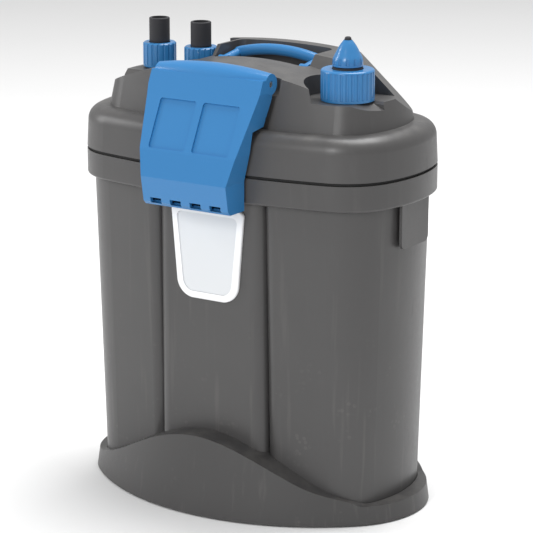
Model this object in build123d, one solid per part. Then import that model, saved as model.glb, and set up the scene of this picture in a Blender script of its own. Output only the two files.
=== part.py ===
from build123d import *
import math
import os

# External canister filter. Millimetres, +Z up, front towards -Y.
# Origin: centre of the footprint, on the floor.

# ---- driving dimensions ------------------------------------------------------
LENGTH = 286.0            # collar, along X
DEPTH = 160.0             # collar, along Y
SIDE_R = 480.0            # plan radius of the long sides
END_R = 120.0             # plan radius of the ends
CORNER_R = 48.0           # plan radius of the corners

SEAM_Z = 268.0            # top face of the collar
COLLAR_H = 20.0
COLLAR_SKIN = 3.0
FLANGE_T = 6.0
OVERHANG = 6.0            # collar face to vessel wall, under the collar
DRAFT = 1.5               # degrees, vessel wall
WALL = 3.2
FLOOR_Z = 10.0            # underside of the vessel
MOUTH_INSET = 12.0        # opening of the vessel, from the collar face

SHOULDER_X = 47.5         # inner edge of each front lobe
RECESS_Y = DEPTH / 2 - 32.0  # back plane of the recess between the lobes
COLUMN_X = 48.5           # half width of the centre column
COLUMN_Y = DEPTH / 2 - 8.0           # front of the centre column
SHOULDER_FILLET = 9.0
COLUMN_FILLET = 11.0

LIP_W = 40.0              # lip under the collar at each end
LIP_H = 34.0
LIP_T = 2.4
LIP_GAP = 0.8

FOOT_LENGTH = LENGTH + 5.0
FOOT_DEPTH = DEPTH + 41.0
FOOT_END_R = 72.0
FOOT_DRAFT = 8.0
FOOT_WALL = 3.5
FOOT_LIFT = 1.0           # rubber feet stand this far below the foot
RIM_Z = 14.5
APRON_RISE = 47.5
APRON_SPAN = LENGTH / 2
FEET_R = 9.0
FEET_X = LENGTH / 2 - 51.0
FEET_Y = DEPTH / 2 - 28.0
SEAT_GAP = 0.4            # foot socket to vessel wall

BADGE_TOP_X = 33.4
BADGE_LOW_X = 27.0
BADGE_TOP_Z = SEAM_Z - 28.0
BADGE_LOW_Z = SEAM_Z - 101.0
BADGE_T = 2.4
BADGE_RIM = 5.5
INLAY_T = 1.2

GASKET_T = 1.6
GASKET_LIFT = 0.3
SKIRT_GAP = 0.5           # gasket to head skirt
SKIRT_TOP_Z = SEAM_Z + 35.0
SKIRT_DRAFT = 3.0
SKIRT_FILLET = 12.0
HEAD_WALL = 3.0
TIER_INSET = 16.0         # ledge width, skirt face to upper tier
TIER_DRAFT = 12.0
CROWN_Z = SEAM_Z + 77.0           # front half of the roof, on the centre line
CROWN_R = 262.0
HUMP_Z = SEAM_Z + 83.0            # rear half of the roof
HUMP_R = 620.0
HUMP_START_Y = -14.0
HUMP_FULL_Y = 12.0
RAMP_FOOT_Z = SEAM_Z + 54.0       # foot of the slope between the two halves
HIP_SUPPORT = LENGTH / 2 - 26.0       # 45 degree hips at the rear corners, at HIP_Z
HIP_Z = SEAM_Z + 41.0
HIP_ANGLE = 33.0
TIER_FILLET = 3.0

PLATE_T = 5.0             # head base
PLATE_GAP = 0.4
SPIGOT_H = 11.0
SPIGOT_GAP = 1.0
SPIGOT_T = 4.0

PIN_R = 2.5
RUN_FIT = 0.06            # radial running clearance
FRONT_PIN_Z = SEAM_Z + 70.0
REAR_PIN_Z = SEAM_Z + 57.0
LATCH_PIN_Y = DEPTH / 2 - 18.0
ROLL_R = 12.0
ROLL_END_R = 8.0
LATCH_TOP_X = 50.5
LATCH_MID_X = 43.5
LATCH_LOW_X = 38.5
LATCH_WALL = 3.0
LATCH_KNEE_Y = DEPTH / 2 + 1.4       # light upper face meets the panel face
LATCH_KNEE_DROP = 14.0
LATCH_CREASE_Y = DEPTH / 2 + 26.0
LATCH_CREASE_Z = SEAM_Z - 2.0
LATCH_BOTTOM_Y = DEPTH / 2 + 22.6
LATCH_BOTTOM_Z = SEAM_Z - 21.5
LATCH_GAP = 1.3           # latch cheeks to head, latch lip to collar
LUG_X = 32.0
LUG_T = 7.0
LUG_R = 4.8
LUG_LEAN = 20.0           # degrees, lug arm leans towards the head
PANEL_SINK = 1.6
PANEL_X = 36.0
PANEL_BAR = 3.2
PANEL_FOOT_Y = DEPTH / 2 + 20.4
PANEL_FOOT_Z = SEAM_Z + 18.0

NOZZLE_XS = (41.0 - LENGTH / 2, 81.0 - LENGTH / 2)
NOZZLE_Y = 10.0
NOZZLE_R = 8.2
NOZZLE_BORE = 6.2
NOZZLE_NECK = 0.7         # the tail is this much thinner inside the nut
NOZZLE_TOP_Z = SEAM_Z + 98.0
NUT_SEAT_Z = SEAM_Z + 58.0
NUT_R = 13.3
NUT_H = 20.0
NUT_LIFT = 0.4
SPOUT_R = 11.4            # spigot of the head that carries a union nut
SPOUT_BORE = 10.3
SPOUT_H = 9.0
STUB_R = 9.0
STUB_LOW_Z = SEAM_Z + 32.0
NUT_RIBS = 18

HEATER_X = LENGTH / 2 - 51.5
HEATER_Y = -20.0
HEATER_SEAT_Z = SEAM_Z + 56.0
NICHE_R = 33.0
HEATER_NUT_R = 20.4
HEATER_NUT_H = 23.5
HEATER_RIBS = 30
HEATER_SPOUT_R = 16.5
HEATER_SPOUT_H = 13.0
HEATER_BODY_R = 11.5
TUBE_R = 11.0
TUBE_WALL = 1.2
TUBE_LOW_Z = SEAM_Z - 196.0
KNOB_R = 11.6
KNOB_LOW_Z = SEAM_Z + 82.0
KNOB_TOP_Z = SEAM_Z + 101.5
TIP_TOP_Z = SEAM_Z + 104.0

HANDLE_X = 37.5
HANDLE_PIVOT_Y = 6.0
HANDLE_PIVOT_Z = SEAM_Z + 70.3
HANDLE_BAR_Y = 28.0
HANDLE_END_Z = SEAM_Z + 73.5
HANDLE_RISE = 5.0
HANDLE_BAR_R = 4.4
HANDLE_PIN_R = 2.0
WELL_X = 43.5
WELL_FLOOR_Z = SEAM_Z + 65.6
WELL_Y0 = -4.0
WELL_Y1 = 40.0

SEAT_Y0 = -14.0           # flat round the union nuts, front to rear
SEAT_Y1 = 44.0
SEAT_BEND_Y = 26.0        # from here the flat slopes down to the rear
SEAT_SLOPE = 0.5
SEAT_X1 = 57.0            # the slope ends this far left of the centre

MOTOR_X = 15.0
MOTOR_Y = 0.0
MOTOR_SIZE = (64.0, 56.0)
MOTOR_TOP_Z = SEAM_Z + 54.0
MAGNET_R = 12.0
WELL_R = 13.0
SHAFT_R = 1.5
IMPELLER_R = 24.0
HOUSING_R = 32.0
HOUSING_WALL = 2.5
HOUSING_LOW_Z = SEAM_Z - 24.0
COVER_T = 3.0
DUCT_R = 9.0
DUCT_BORE = 7.0
DUCT_Z = SEAM_Z - 12.0
RISER_R = 9.5
RISER_TOP_Z = SEAM_Z - 12.0
RISER_LOW_Z = 32.0

BASKET_X0 = 57.0 - LENGTH / 2
BASKET_X1 = HEATER_X - 33.5
BASKET_HALF_Y = DEPTH / 2 - 37.0
BASKET_LOW_Z = 27.0
BASKET_GAP = 2.0          # between one basket and the next
HEAD_ROOM = 36.0          # top basket to impeller cover
BASKET_H = (HOUSING_LOW_Z - COVER_T - HEAD_ROOM - BASKET_LOW_Z - 2 * BASKET_GAP) / 3
BASKET_PITCH = BASKET_H + BASKET_GAP
BASKET_WALL = 1.8
BASKET_CORNER = 12.0
BASKET_RIM = 1.0
GRID_Z = 22.5
GRID_T = 4.0
FOAM_GAP = 0.4
BAIL_Z_DROP = 5.0
BAIL_REACH = 36.0
BAIL_W = 4.0
BAIL_T = 2.4
BAIL_PIN_R = 1.2

GLAND_X = LENGTH / 2 - 58.0
GLAND_Y = DEPTH / 2 - 4.0
GLAND_Z = SEAM_Z + 18.0
GLAND_R = 6.0

SCREW_R = 1.5
OUTER_SCREW = (LENGTH / 2 - 35.0, DEPTH / 2 - 44.0)
INNER_SCREW = (LENGTH / 2 - 81.0, DEPTH / 2 - 30.0)
SCREW_SPOTS = [(sx * x, sy * y) for sx in (-1, 1) for sy in (-1, 1) for x, y in (OUTER_SCREW, INNER_SCREW)]

os.makedirs("parts", exist_ok=True)


def save(node, shape):
    """Write one node's STEP file."""
    solids = shape.solids()
    print(f"{node:22s} solids {len(solids):3d}  volume {shape.volume / 1000:9.2f} cm3")
    export_step(shape if len(solids) == 1 else Compound(children=list(solids)), f"parts/{node}.step")


def unit(x, y):
    """Unit vector of a plan direction."""
    size = math.hypot(x, y)
    return x / size, y / size


def upward(edges):
    """Face inside the edges, facing +Z."""
    face = make_face(edges).face()
    return face if face.normal_at().Z > 0 else -face


def outline(inset=0.0):
    """Vessel plan: long side arcs, end arcs and corner arcs, all tangent, moved inwards by inset."""
    side_y = DEPTH / 2 - SIDE_R
    end_x = LENGTH / 2 - END_R
    to_side = SIDE_R - CORNER_R
    to_end = END_R - CORNER_R
    span = math.hypot(end_x, side_y)
    along = (to_side ** 2 - to_end ** 2 + span ** 2) / (2 * span)
    off = math.sqrt(to_side ** 2 - along ** 2)
    ux, uy = unit(end_x, -side_y)
    corner_x = ux * along + uy * off
    corner_y = side_y + uy * along - ux * off
    sx, sy = unit(corner_x, corner_y - side_y)
    ex, ey = unit(corner_x - end_x, corner_y)
    mx, my = unit(sx + ex, sy + ey)
    r = CORNER_R - inset
    side = (corner_x + sx * r, corner_y + sy * r)
    middle = (corner_x + mx * r, corner_y + my * r)
    end = (corner_x + ex * r, corner_y + ey * r)
    top = (0, DEPTH / 2 - inset)
    tip = (LENGTH / 2 - inset, 0)
    arcs = []
    for fx, fy in ((1, 1), (1, -1), (-1, -1), (-1, 1)):
        def at(p):
            return (fx * p[0], fy * p[1])
        arcs.append(ThreePointArc(at(side), at(middle), at(end)))
    for fy in (1, -1):
        arcs.append(ThreePointArc((-side[0], fy * side[1]), (0, fy * top[1]), (side[0], fy * side[1])))
    for fx in (1, -1):
        arcs.append(ThreePointArc((fx * end[0], -end[1]), (fx * tip[0], 0), (fx * end[0], end[1])))
    return upward(arcs)


def foot_outline(inset=0.0):
    """Foot plan: a four-centre oval."""
    a = FOOT_LENGTH / 2
    b = FOOT_DEPTH / 2
    r = FOOT_END_R
    big = ((a - r) ** 2 + b * b - r * r) / (2 * (b - r))
    ux, uy = unit(a - r, big - b)
    join = (a - r + ux * (r - inset), uy * (r - inset))
    arcs = []
    for f in (1, -1):
        arcs.append(ThreePointArc((-join[0], f * join[1]), (0, f * (b - inset)), (join[0], f * join[1])))
        arcs.append(ThreePointArc((f * join[0], -join[1]), (f * (a - inset), 0), (f * join[0], join[1])))
    return upward(arcs)


def slab(face, z0, z1, draft=0.0):
    """Solid on a plan face from z0 up to z1; a positive draft narrows it upwards."""
    if draft == 0:
        return extrude(Pos(0, 0, z0) * face, amount=z1 - z0, dir=(0, 0, 1))
    narrowed = offset(face, amount=-(z1 - z0) * math.tan(math.radians(draft)), kind=Kind.INTERSECTION)
    return loft([Pos(0, 0, z0) * face, Pos(0, 0, z1) * narrowed.face()], ruled=True)


def box(x0, x1, y0, y1, z0, z1):
    """Box between two corners."""
    return Pos((x0 + x1) / 2, (y0 + y1) / 2, (z0 + z1) / 2) * Box(x1 - x0, y1 - y0, z1 - z0)


def rod(x, y, z0, z1, r):
    """Upright cylinder."""
    return Pos(x, y, (z0 + z1) / 2) * Cylinder(r, z1 - z0)


def rod_x(x0, x1, y, z, r):
    """Cylinder along X."""
    return Pos((x0 + x1) / 2, y, z) * Rot(0, 90, 0) * Cylinder(r, x1 - x0)


def mirror_y(shape):
    """The same piece on the other side of the XZ plane."""
    return mirror(shape, about=Plane.XZ)


# ---- vessel ------------------------------------------------------------------
WALL_TOP_Z = SEAM_Z - FLANGE_T
LOW_INSET = OVERHANG + (SEAM_Z - COLLAR_H - FLOOR_Z) * math.tan(math.radians(DRAFT))


def vessel_body(grow=0.0, z0=FLOOR_Z, z1=WALL_TOP_Z):
    """Outer form of the vessel, grown sideways by grow: two lobes and a column, front and back."""
    lift = math.tan(math.radians(DRAFT))
    body = slab(outline(LOW_INSET - grow - (z0 - FLOOR_Z) * lift), z0, z1, -DRAFT)
    far = DEPTH / 2 + 20
    for side in (-1, 1):
        y0, y1 = sorted((side * (RECESS_Y + grow), side * far))
        body -= box(-SHOULDER_X + grow, SHOULDER_X - grow, y0, y1, z0 - 1, SEAM_Z - COLLAR_H + 2)
    shoulders = [e for e in body.edges()
                 if abs(abs(e.center().X) - SHOULDER_X + grow) < 0.6 and abs(e.center().Y) > RECESS_Y + 8
                 and e.length > 60]
    body = fillet(shoulders, SHOULDER_FILLET)
    for side in (-1, 1):
        y0, y1 = sorted((side * (RECESS_Y - 6), side * (COLUMN_Y + grow)))
        column = box(-COLUMN_X - grow, COLUMN_X + grow, y0, y1, z0, min(z1, SEAM_Z - COLLAR_H + 2))
        fronts = [e for e in column.edges() if abs(e.center().Y) > COLUMN_Y + grow - 0.1
                  and abs(e.center().X) > COLUMN_X - 0.1 + grow]
        body += fillet(fronts, COLUMN_FILLET)
    return body


def vessel_cavity():
    """Space inside the vessel."""
    z0 = FLOOR_Z + WALL
    lift = (z0 - FLOOR_Z) * math.tan(math.radians(DRAFT))
    space = slab(outline(LOW_INSET - lift + WALL), z0, WALL_TOP_Z, -DRAFT)
    far = DEPTH / 2 + 20
    for side in (-1, 1):
        y0, y1 = sorted((side * (RECESS_Y - WALL), side * far))
        space -= box(-SHOULDER_X - WALL, SHOULDER_X + WALL, y0, y1, z0 - 1, SEAM_Z - COLLAR_H + 2 + WALL)
        y0, y1 = sorted((side * (RECESS_Y - WALL - 1), side * (COLUMN_Y - WALL)))
        column = box(-COLUMN_X + WALL, COLUMN_X - WALL, y0, y1, z0, SEAM_Z - COLLAR_H - WALL + 2)
        fronts = [e for e in column.edges() if abs(e.center().Y) > COLUMN_Y - WALL - 0.1
                  and abs(e.center().X) > COLUMN_X - WALL - 0.1]
        space += fillet(fronts, COLUMN_FILLET - WALL)
    return space


def canister():
    """Vessel, collar and the lips under the collar at both ends."""
    collar = slab(outline(), SEAM_Z - COLLAR_H, SEAM_Z)
    collar = fillet(collar.faces().sort_by(Axis.Z)[0].edges(), 2.0)
    collar -= slab(outline(COLLAR_SKIN), SEAM_Z - COLLAR_H - 1, SEAM_Z - FLANGE_T)
    vessel = vessel_body() + collar
    vessel -= vessel_cavity()
    vessel -= slab(outline(MOUTH_INSET), WALL_TOP_Z - 1, SEAM_Z + 1)
    for side in (-1, 1):
        wall_x = LENGTH / 2 - OVERHANG
        x0, x1 = sorted((side * (wall_x + LIP_GAP), side * (wall_x + LIP_GAP + LIP_T)))
        lip = box(x0, x1, -LIP_W / 2, LIP_W / 2, SEAM_Z - COLLAR_H - LIP_H, SEAM_Z - FLANGE_T + 0.5)
        corners = [e for e in lip.edges().filter_by(Axis.X) if e.center().Z < SEAM_Z - COLLAR_H]
        vessel += fillet(corners, 5.0)
    return vessel


# ---- foot --------------------------------------------------------------------
def apron_curve(drop=0.0):
    """Everything above the top line of the foot, which rises to an apron at the middle."""
    points = []
    for i in range(-6, 7):
        x = APRON_SPAN * i / 6
        points.append((x, RIM_Z - drop + APRON_RISE * math.cos(math.pi * x / (2 * APRON_SPAN)) ** 2))
    far = FOOT_LENGTH
    high = RIM_Z + APRON_RISE + 60
    left, right = points[0], points[-1]
    edges = [Spline(points, tangents=[(1, 0), (1, 0)]),
             Line(right, (far, right[1])), Line((far, right[1]), (far, high)),
             Line((far, high), (-far, high)), Line((-far, high), (-far, left[1])),
             Line((-far, left[1]), left)]
    return extrude(Plane.XZ * make_face(edges), amount=FOOT_DEPTH, both=True)


def base_foot():
    """Flared foot: rim, apron front and back, socket for the vessel, hollow underneath."""
    top = RIM_Z + APRON_RISE + 6
    floor_t = FOOT_WALL
    foot = slab(foot_outline(), FOOT_LIFT, top, FOOT_DRAFT) - apron_curve()
    foot = foot - vessel_body(SEAT_GAP, FLOOR_Z, top + 20)
    hollow = slab(foot_outline(FOOT_WALL), FOOT_LIFT, top, FOOT_DRAFT) - apron_curve(FOOT_WALL)
    hollow -= vessel_body(SEAT_GAP + FOOT_WALL, FLOOR_Z - floor_t, top + 20)
    foot -= hollow
    for x in (-FEET_X, FEET_X):
        for y in (-FEET_Y, FEET_Y):
            foot += rod(x, y, FOOT_LIFT + 2, FLOOR_Z - floor_t, FEET_R + 2.5)
            foot -= rod(x, y, 0, FOOT_LIFT + 4, FEET_R + 0.2)
    return foot


def rubber_feet():
    """Four pads pressed into the foot."""
    pads = [fillet(rod(x, y, 0, FOOT_LIFT + 4, FEET_R).edges().sort_by(Axis.Z)[0], 0.8)
            for x in (-FEET_X, FEET_X) for y in (-FEET_Y, FEET_Y)]
    return Compound(children=[pad.solids()[0] for pad in pads])


# ---- badge -------------------------------------------------------------------
def badge_face(inset):
    """Badge outline in the XZ plane, narrowing downwards, with round lower corners."""
    shape = Polygon((-BADGE_TOP_X + inset, BADGE_TOP_Z - inset), (BADGE_TOP_X - inset, BADGE_TOP_Z - inset),
                    (BADGE_LOW_X - inset, BADGE_LOW_Z + inset), (-BADGE_LOW_X + inset, BADGE_LOW_Z + inset),
                    align=None)
    low = shape.vertices().sort_by(Axis.Y)[:2]
    shape = fillet(low, 15.0 - inset)
    high = shape.vertices().sort_by(Axis.Y)[-2:]
    return fillet(high, 4.0)


def badge():
    """Raised frame and the inlay inside it."""
    front = (0, -1, 0)
    frame = Pos(0, -COLUMN_Y, 0) * extrude(Plane.XZ * badge_face(0), amount=BADGE_T, dir=front)
    rim_edges = frame.faces().sort_by(Axis.Y)[0].edges()
    frame = chamfer(rim_edges, 0.7)
    seat_y = -COLUMN_Y - BADGE_T + INLAY_T
    frame -= Pos(0, seat_y, 0) * extrude(Plane.XZ * badge_face(BADGE_RIM), amount=BADGE_T, dir=front)
    inlay_face = Plane.XZ * badge_face(BADGE_RIM + 0.15)
    inlay = Pos(0, seat_y, 0) * extrude(inlay_face, amount=INLAY_T - 0.5, dir=front)
    return frame, inlay


# ---- head --------------------------------------------------------------------
SKIRT_Z = SEAM_Z + GASKET_LIFT + GASKET_T + SKIRT_GAP
PLATE_Z = SEAM_Z + GASKET_LIFT + GASKET_T
PLATE_TOP_Z = PLATE_Z + PLATE_T
TOP = HUMP_Z + 8


def arch_below(z_top, radius, depth0, depth1, drop=0.0):
    """Everything below an arch that is highest at X = 0, between two Y planes."""
    far = LENGTH / 2
    low = z_top - drop - far * far / (2 * radius)
    edges = [ThreePointArc((-far, low), (0, z_top - drop), (far, low)),
             Line((far, low), (far, 200)), Line((far, 200), (-far, 200)), Line((-far, 200), (-far, low))]
    face = Plane.XZ * make_face(edges)
    prism = extrude(face, amount=LENGTH, both=True)
    return prism & box(-far, far, depth0, depth1, 190, TOP + 20)


def roof(drop=0.0):
    """Space under the head's roof: a crowned front half, a higher rear half and a slope between."""
    far = DEPTH
    front = arch_below(CROWN_Z, CROWN_R, -far, far, drop)
    rear = arch_below(HUMP_Z, HUMP_R, -far, far, drop)
    foot_y = HUMP_START_Y + 1.35 * drop
    full_y = HUMP_FULL_Y + 1.35 * drop
    ramp_profile = Polygon((foot_y, 200), (far, 200), (far, TOP + 10), (full_y + 6, TOP + 10),
                           (full_y, HUMP_Z), (foot_y, RAMP_FOOT_Z), align=None)
    ramp = Pos(-LENGTH, 0, 0) * extrude(Plane.YZ * ramp_profile, amount=2 * LENGTH)
    space = front + (rear & ramp)
    for side in (-1, 1):
        direction = Vector(side * math.cos(math.radians(HIP_ANGLE)), math.sin(math.radians(HIP_ANGLE)), 0)
        normal = (direction + Vector(0, 0, 1)).normalized()
        reach = HIP_SUPPORT - drop * math.sqrt(2) + drop
        spot = direction * reach + Vector(0, 0, HIP_Z - drop)
        hip = Plane(origin=spot, z_dir=normal)
        cutter = hip * Pos(0, 0, 100) * Box(400, 400, 200)
        if side > 0:
            cutter &= box(-LENGTH, LENGTH, HEATER_Y + 22, LENGTH, 190, TOP + 200)
        else:
            cutter &= box(-LENGTH, LENGTH, NOZZLE_Y + NUT_R + 4, LENGTH, 190, TOP + 200)
        space -= cutter
    # flat seat of the union nuts, sloping away to the rear
    seat_z = NUT_SEAT_Z - drop
    space -= box(-LENGTH, drop - WELL_X - HEAD_WALL, SEAT_Y0 - drop, SEAT_Y1 + drop, seat_z, TOP + 20)
    bend_y = SEAT_BEND_Y - 0.24 * drop
    slope = Polygon((bend_y, seat_z), (far, seat_z - SEAT_SLOPE * (far - bend_y)), (far, TOP + 20),
                    (bend_y, TOP + 20), align=None)
    cap = Pos(-LENGTH, 0, 0) * extrude(Plane.YZ * slope, amount=LENGTH - SEAT_X1 + drop)
    return space - cap


def head_form(inset=0.0):
    """Head solid, moved inwards by inset: skirt, ledge and upper tier under the roof."""
    skirt = slab(outline(inset), SKIRT_Z, SKIRT_TOP_Z - inset, SKIRT_DRAFT)
    skirt = fillet(skirt.faces().sort_by(Axis.Z)[-1].edges(), SKIRT_FILLET - inset)
    tier = slab(outline(TIER_INSET + inset), SKIRT_TOP_Z - 12, TOP, TIER_DRAFT)
    return skirt + (tier & roof(inset))


def head_shell():
    """Head cover with niche, handle well, latch troughs, lugs, spouts and screw bosses."""
    form = head_form()
    inner = head_form(HEAD_WALL)
    fill = Part()
    cut = Part()
    # niche of the heater, with its own wall
    fill += rod(HEATER_X, HEATER_Y, HEATER_SEAT_Z - HEAD_WALL, TOP, NICHE_R + HEAD_WALL)
    cut += rod(HEATER_X, HEATER_Y, HEATER_SEAT_Z, TOP + 5, NICHE_R)
    y0, y1 = HEATER_Y - NICHE_R, HEATER_Y + NICHE_R
    fill += box(HEATER_X, LENGTH, y0 - HEAD_WALL, y1 + HEAD_WALL, HEATER_SEAT_Z - HEAD_WALL, TOP)
    cut += box(HEATER_X, LENGTH, y0, y1, HEATER_SEAT_Z, TOP + 5)
    # seats of the union nuts
    for x in NOZZLE_XS:
        fill += rod(x, NOZZLE_Y, NUT_SEAT_Z - HEAD_WALL, TOP, NUT_R + 1.5 + HEAD_WALL)
        cut += rod(x, NOZZLE_Y, NUT_SEAT_Z, TOP + 5, NUT_R + 1.5)
    # handle well
    grow = HEAD_WALL
    fill += box(-WELL_X - grow, WELL_X + grow, WELL_Y0 - grow, WELL_Y1 + grow, WELL_FLOOR_Z - grow, TOP)
    well = box(-WELL_X, WELL_X, WELL_Y0, WELL_Y1, WELL_FLOOR_Z, TOP + 5)
    cut += fillet(well.edges().filter_by(Axis.Z), 6.0)
    # troughs of the latch rolls
    for side, pin_z in ((-1, FRONT_PIN_Z), (1, REAR_PIN_Z)):
        y = side * LATCH_PIN_Y
        r = ROLL_R + LATCH_GAP
        half = LATCH_TOP_X + LATCH_GAP
        fill += rod_x(-half - grow, half + grow, y, pin_z, r + HEAD_WALL)
        cut += rod_x(-half, half, y, pin_z, r)
        y0, y1 = sorted((y, side * DEPTH))
        cut += box(-half, half, y0, y1, pin_z - r, TOP + 5)
        y0, y1 = sorted((y, y - side * 5))
        cut += box(-half, half, y0, y1, pin_z, TOP + 5)
    shell = form - inner + (fill & form)
    shell -= cut
    # lugs of the latch pins
    for side, pin_z in ((-1, FRONT_PIN_Z), (1, REAR_PIN_Z)):
        y = side * LATCH_PIN_Y
        for x in (-1, 1):
            x0, x1 = sorted((x * LUG_X, x * (LUG_X + LUG_T)))
            lug = rod_x(x0, x1, y, pin_z, LUG_R)
            arm = Pos(0, 0, -(ROLL_R + 4) / 2) * Box(x1 - x0, 2 * LUG_R, ROLL_R + 4)
            lug += Pos((x0 + x1) / 2, y, pin_z) * Rot(-side * LUG_LEAN, 0, 0) * arm
            shell += lug - inner
        shell -= rod_x(-LATCH_TOP_X, LATCH_TOP_X, y, pin_z, PIN_R)
    # spouts and their bores
    for x in NOZZLE_XS:
        shell += rod(x, NOZZLE_Y, NUT_SEAT_Z - HEAD_WALL, NUT_SEAT_Z + SPOUT_H, SPOUT_R)
        shell -= rod(x, NOZZLE_Y, NUT_SEAT_Z - 10, NUT_SEAT_Z + SPOUT_H + 1, SPOUT_BORE)
    shell += rod(HEATER_X, HEATER_Y, HEATER_SEAT_Z - HEAD_WALL, HEATER_SEAT_Z + HEATER_SPOUT_H, HEATER_SPOUT_R)
    shell -= rod(HEATER_X, HEATER_Y, HEATER_SEAT_Z - 10, HEATER_SEAT_Z + HEATER_SPOUT_H + 1, HEATER_BODY_R + 0.8)
    # screw bosses and the gland's hole
    for x, y in SCREW_SPOTS:
        boss = rod(x, y, PLATE_TOP_Z, SKIRT_TOP_Z + 22, 4.2) & form
        shell += boss - cut
        shell -= rod(x, y, PLATE_TOP_Z - 1, PLATE_TOP_Z + 14, SCREW_R)
    shell -= Pos(GLAND_X, DEPTH / 2, GLAND_Z) * Rot(90, 0, 0) * Cylinder(GLAND_R, 60)
    pins = rod_x(-WELL_X - 3.0, WELL_X + 3.0, HANDLE_PIVOT_Y, HANDLE_PIVOT_Z, HANDLE_PIN_R)
    return shell - pins


def head_base():
    """Plate under the head, with a spigot that enters the vessel's mouth."""
    base = slab(outline(HEAD_WALL + PLATE_GAP), PLATE_Z, PLATE_TOP_Z)
    base -= rod(0, 0, 0, 1, 1)
    ring = slab(outline(MOUTH_INSET + SPIGOT_GAP), PLATE_Z - SPIGOT_H, PLATE_Z)
    ring -= slab(outline(MOUTH_INSET + SPIGOT_GAP + SPIGOT_T), PLATE_Z - SPIGOT_H - 1, PLATE_Z + 1)
    base += ring
    base -= rod(MOTOR_X, MOTOR_Y, PLATE_Z - 1, PLATE_TOP_Z + 1, WELL_R + 1)
    base -= rod(NOZZLE_XS[0], NOZZLE_Y, PLATE_Z - 1, PLATE_TOP_Z + 1, DUCT_R)
    base -= rod(NOZZLE_XS[1], NOZZLE_Y, PLATE_Z - 1, PLATE_TOP_Z + 1, DUCT_R)
    base -= rod(HEATER_X, HEATER_Y, PLATE_Z - 1, PLATE_TOP_Z + 1, HEATER_BODY_R + 0.8)
    for x, y in SCREW_SPOTS:
        base -= rod(x, y, PLATE_Z - 1, PLATE_TOP_Z + 1, SCREW_R)
        base -= rod(x, y, PLATE_Z - 1, PLATE_Z + 2.4, 3.2)
    return base


def gasket():
    """Flat seal between collar and head; its edge shows as the dark seam."""
    ring = slab(outline(1.6), SEAM_Z + GASKET_LIFT, PLATE_Z)
    return ring - slab(outline(MOUTH_INSET - 1), SEAM_Z - 1, PLATE_Z + 1)


def head_screws():
    """Screws from below, through the head base into the bosses."""
    screws = []
    for x, y in SCREW_SPOTS:
        screw = rod(x, y, PLATE_Z + 0.2, PLATE_Z + 2.4, 3.0) + rod(x, y, PLATE_Z + 2, PLATE_TOP_Z + 12, SCREW_R)
        screw -= Pos(x, y, PLATE_Z + 0.2) * Box(4.2, 0.9, 1.8)
        screws.append(screw.solids()[0])
    return Compound(children=screws)


def cord_gland():
    """Gland where the pump's cord enters the head."""
    plane_y = GLAND_Y
    gland = Pos(GLAND_X, plane_y - 4, GLAND_Z) * Rot(90, 0, 0) * Cylinder(GLAND_R, 20)
    gland += Pos(GLAND_X, plane_y + 1, GLAND_Z) * Rot(90, 0, 0) * Cylinder(GLAND_R + 3, 5)
    gland += Pos(GLAND_X, plane_y + 9, GLAND_Z) * Rot(-90, 0, 0) * Cone(GLAND_R + 1, GLAND_R - 2, 11)
    for i in range(3):
        ring = Pos(GLAND_X, plane_y + 6 + 3 * i, GLAND_Z) * Rot(90, 0, 0) * Torus(GLAND_R + 0.6 - 0.7 * i, 0.8)
        gland -= ring
    return gland - Pos(GLAND_X, plane_y + 2, GLAND_Z) * Rot(90, 0, 0) * Cylinder(3.2, 60)


# ---- latches -----------------------------------------------------------------
def latch_profile(pin_z, inset=0.0):
    """Side profile of the front latch in the YZ plane, moved inwards by inset."""
    knee = (-LATCH_KNEE_Y + inset, pin_z - LATCH_KNEE_DROP)
    foot = (-PANEL_FOOT_Y + inset, PANEL_FOOT_Z)
    crease = (-LATCH_CREASE_Y + inset * 1.05, LATCH_CREASE_Z)
    bottom = (-LATCH_BOTTOM_Y + inset, LATCH_BOTTOM_Z)
    low = (-LATCH_BOTTOM_Y + 3 + inset, LATCH_BOTTOM_Z - 3)
    back = -DEPTH / 2 - LATCH_GAP + 0.6
    skirt_top = SKIRT_TOP_Z + LATCH_GAP
    tier = -DEPTH / 2 + TIER_INSET - LATCH_GAP - 1
    points = [(-LATCH_PIN_Y - ROLL_R + inset + 0.8, pin_z + 4), knee, foot, crease, bottom, low]
    if inset == 0:
        points += [(back, LATCH_BOTTOM_Z - 3), (back, LATCH_BOTTOM_Z), (back, skirt_top), (tier, skirt_top + 2),
                   (-LATCH_PIN_Y + 2, pin_z - ROLL_R + 1), (-LATCH_PIN_Y + 2, pin_z + 4)]
    else:
        points[-1] = (bottom[0] + 1, LATCH_BOTTOM_Z)
        points += [(-DEPTH / 3, LATCH_BOTTOM_Z), (-DEPTH / 3, skirt_top), (0, skirt_top),
                   (0, pin_z + 4)]
        points[4] = (-LATCH_BOTTOM_Y + inset, LATCH_BOTTOM_Z)
        points.pop(5)
    return Plane.YZ * make_face(Polyline(points + [points[0]]).edges())


def latch_front(pin_z, inset=0.0):
    """Front view of the latch in the XZ plane: wide at the top, narrow at the hook."""
    top = (LATCH_TOP_X - inset, pin_z + 2)
    half = [top, (LATCH_TOP_X - inset, pin_z - 6), (LATCH_MID_X - inset, PANEL_FOOT_Z + 2),
            (LATCH_LOW_X - inset, LATCH_CREASE_Z), (LATCH_LOW_X - inset, 200)]
    points = [(x, z) for x, z in half] + [(-x, z) for x, z in reversed(half)]
    up = [(LATCH_TOP_X - inset, pin_z + 40), (-LATCH_TOP_X + inset, pin_z + 40)]
    points = points + list(reversed(up)) + [points[0]]
    return extrude(Plane.XZ * make_face(Polyline(points).edges()), amount=200, both=True)


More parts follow.
